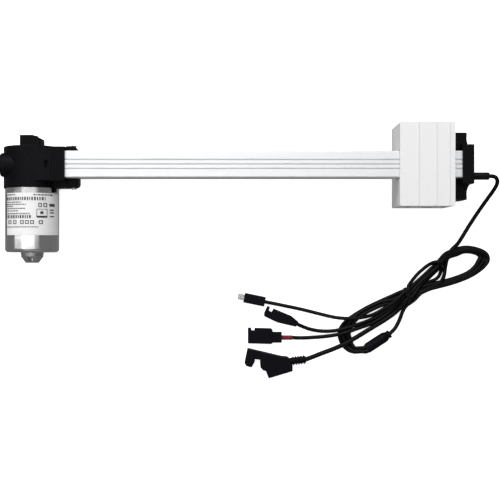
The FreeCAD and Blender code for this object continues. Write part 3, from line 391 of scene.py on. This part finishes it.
LATCH_POINTS = looped_lead(
    (-2.4, 8.2),
    [(7.0, 6.5)] * 2 + [(10.5, 6.0)] + [(13.5, 5.2)] * 3
    + [(11.0, 6.2), (6.6, 7.6), (6.3, 7.8), (6.6, 7.8), (12.2, 4.6)],
    (5.8, 2.2), "latch",
    [(-2.7, 2.2)] * 4 + [(-2.8, 2.8), (-3.4, 4.6)],
    (-4.6, 6.2),
    [(183, -126.8, 8.4), (170, -135.8, 4.2), (156, -144.2, 4.4),
     (141, -149.2, 8), (128, -153, 9.8), (114, -157.2, 6.5), (99.5, -158.2, 2.5), (86, -156.3, 2.6),
     (76, -152.7, 4), (69.2, -149.4, 4.6)])

MAIN_POINTS = RELIEF_TO_HANK + MAIN_IN_HANK + HANK_TO_SPLITTER


def cord_curve(name, points, diameter):
    """A round cord along a smooth spline whose control points are the route's points."""
    data = bpy.data.curves.new(name, "CURVE")
    data.dimensions = "3D"
    data.bevel_depth = 1.0             # times each point's radius, which is the cord's own
    data.bevel_resolution = 5
    data.resolution_u = 8
    data.use_fill_caps = True
    spline = data.splines.new("NURBS")
    spline.points.add(len(points) - 1)
    for control, point in zip(spline.points, points):
        control.co = (*mm(*point), 1.0)
        control.radius = diameter / 2
    spline.order_u = 3
    spline.use_endpoint_u = True
    data.materials.append(MATERIALS["cable_black"])
    cord = bpy.data.objects.new(name, data)
    bpy.context.scene.collection.objects.link(cord)
    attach(cord, "frame")
    return cord


# name: points, diameter, length in metres, far end, pieces on it, CAD nodes it stands for
CORDS = {
    "main_cord": (MAIN_POINTS, MAIN_D, 0.2458, "fitting", ["strain_relief", "splitter", "cable_tie"],
                  ["main_cable", "splitter_cable", "cable_hank"]),
    "usb_cord": (USB_POINTS, USB_D, 0.4388, "plug", ["usb_plug", "usb_plug_shell"], ["usb_lead"]),
    "latch_cord": (LATCH_POINTS, LEAD_D, 0.4896, "connector", ["latch_connector"], ["latch_lead"]),
    "socket_cord": (SOCKET_POINTS, LEAD_D, 0.4939, "connector", ["socket_connector", "red_sleeve"],
                    ["socket_lead"]),
    "power_cord": (POWER_POINTS, POWER_D, 0.4842, "plug", ["power_plug", "power_plug_relief"],
                   ["power_lead"]),
}

for cord_name, (points, diameter, length, far_end, pieces, solids) in CORDS.items():
    cord = cord_curve(cord_name, points, diameter)
    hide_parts(*solids)


# ---- floor and light -----------------------------------------------------------------
FLOOR_SIZE, FLOOR_GAP = 6.0, 0.0002    # metres; the gap keeps the floor clear of what lies on it
FLOOR_GLOW = 0.8                       # keeps the floor pure white under the object's shadow
SKY_STRENGTH = 0.28


def floor():
    floor_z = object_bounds()[0][2] - FLOOR_GAP
    bpy.ops.mesh.primitive_plane_add(size=FLOOR_SIZE, location=(0, 0, floor_z))
    plane = bpy.context.object
    plane.name = "floor"
    shader = Shader("floor_white", (0.92, 0.92, 0.92), 0.0, 0.9)
    shader.set("Emission Color", (1, 1, 1, 1))
    shader.set("Emission Strength", FLOOR_GLOW)
    plane.data.materials.append(shader.material)
    plane.visible_glossy = False
    plane.visible_diffuse = False
    plane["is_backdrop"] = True


def soft_light(name, at, aim, size, power):
    """A rectangular light; places and sizes in metres, power in watts."""
    data = bpy.data.lights.new(name, "AREA")
    data.shape = "RECTANGLE"
    data.size, data.size_y = size
    data.energy = power
    light = bpy.data.objects.new(name, data)
    light.location = at
    light.rotation_euler = (Vector(aim) - Vector(at)).to_track_quat("-Z", "Y").to_euler()
    bpy.context.scene.collection.objects.link(light)


def world():
    made = bpy.data.worlds.new("studio")
    made.use_nodes = True
    background = made.node_tree.nodes["Background"]
    background.inputs["Color"].default_value = (1, 1, 1, 1)
    background.inputs["Strength"].default_value = SKY_STRENGTH
    bpy.context.scene.world = made


floor()
world()
soft_light("overhead", (-0.2, 0.15, 1.6), (-0.1, 0, 0), (2.0, 1.1), 5.9)
soft_light("top_softbox", (0.0, 1.1, 1.15), (0, 0, 0), (1.6, 1.0), 12.0)
soft_light("left_softbox", (-0.8, 1.0, 0.7), (0.2, 0, 0), (0.8, 0.8), 7.0)
soft_light("bottom_softbox", (0.0, -1.2, 1.15), (0, -0.05, 0), (1.6, 1.0), 1.5)
soft_light("left_strip", (-1.1, 0.0, 1.1), (-0.23, 0, 0), (0.08, 1.4), 1.1)
soft_light("centre_strip", (-0.33, 0.0, 1.3), (-0.23, 0, 0), (0.05, 1.2), 0.6)
soft_light("right_strip", (0.12, 0.0, 1.3), (-0.23, 0, 0), (0.05, 1.2), 0.45)
